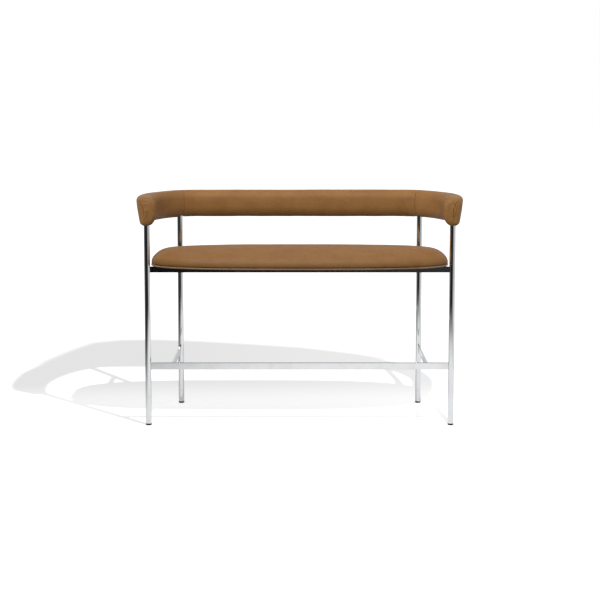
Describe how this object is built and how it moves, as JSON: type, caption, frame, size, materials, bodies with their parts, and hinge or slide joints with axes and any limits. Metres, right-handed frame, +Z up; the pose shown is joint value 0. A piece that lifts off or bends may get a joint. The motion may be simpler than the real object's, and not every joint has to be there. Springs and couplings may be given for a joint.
{
  "type": "bar sofa",
  "caption": "Bar-height sofa: chromed tube frame with a flat-bar seat ring and footrest, an oval leather seat pad, and a level leather hoop as back and arms.",
  "frame": {"origin": "on the floor, in the middle of the outline seen from above", "axes": "+X along the sofa to the right of someone who looks at its front, +Y towards its back, +Z up"},
  "size_m": [1.3972, 0.5846, 0.9777],
  "materials": {
    "chrome": "polished chrome plate",
    "glide_plastic": "satin black nylon",
    "fixings": "zinc-plated steel",
    "underside_cloth": "thin black non-woven cloth",
    "plywood": "raw birch plywood",
    "foam": "cut upholstery foam",
    "leather": "tan-brown leather, fine grain, soft sheen",
    "welt_leather": "tan-brown leather welt, slightly greyer than the cover",
    "core_steel": "bare mild steel tube"
  },
  "bodies": {
    "root": {"front_left_leg": "chrome", "front_right_leg": "chrome", "rear_left_leg": "chrome", "rear_right_leg": "chrome", "front_left_glide": "glide_plastic", "front_right_glide": "glide_plastic", "rear_left_glide": "glide_plastic", "rear_right_glide": "glide_plastic", "seat_front_bar": "chrome", "seat_left_bar": "chrome", "seat_right_bar": "chrome", "seat_cross_bar": "chrome", "footrest_front_bar": "chrome", "footrest_left_bar": "chrome", "footrest_right_bar": "chrome", "front_seat_tabs": "chrome", "rear_seat_tabs": "chrome", "seat_screws": "fixings", "seat_washers": "fixings", "board_t_nuts": "fixings", "seat_underside_cloth": "underside_cloth", "seat_board": "plywood", "seat_foam": "foam", "seat_cover": "leather", "seat_welt": "welt_leather", "hoop_core": "core_steel", "core_end_plugs": "glide_plastic", "hoop_back_foam": "foam", "hoop_left_foam": "foam", "hoop_right_foam": "foam", "back_groove_strip": "foam", "left_groove_strip": "foam", "right_groove_strip": "foam", "left_end_pad": "foam", "right_end_pad": "foam", "hoop_back_cover": "leather", "hoop_left_cover": "leather", "hoop_right_cover": "leather", "left_end_cap": "leather", "right_end_cap": "leather"}
  },
  "joints": []
}
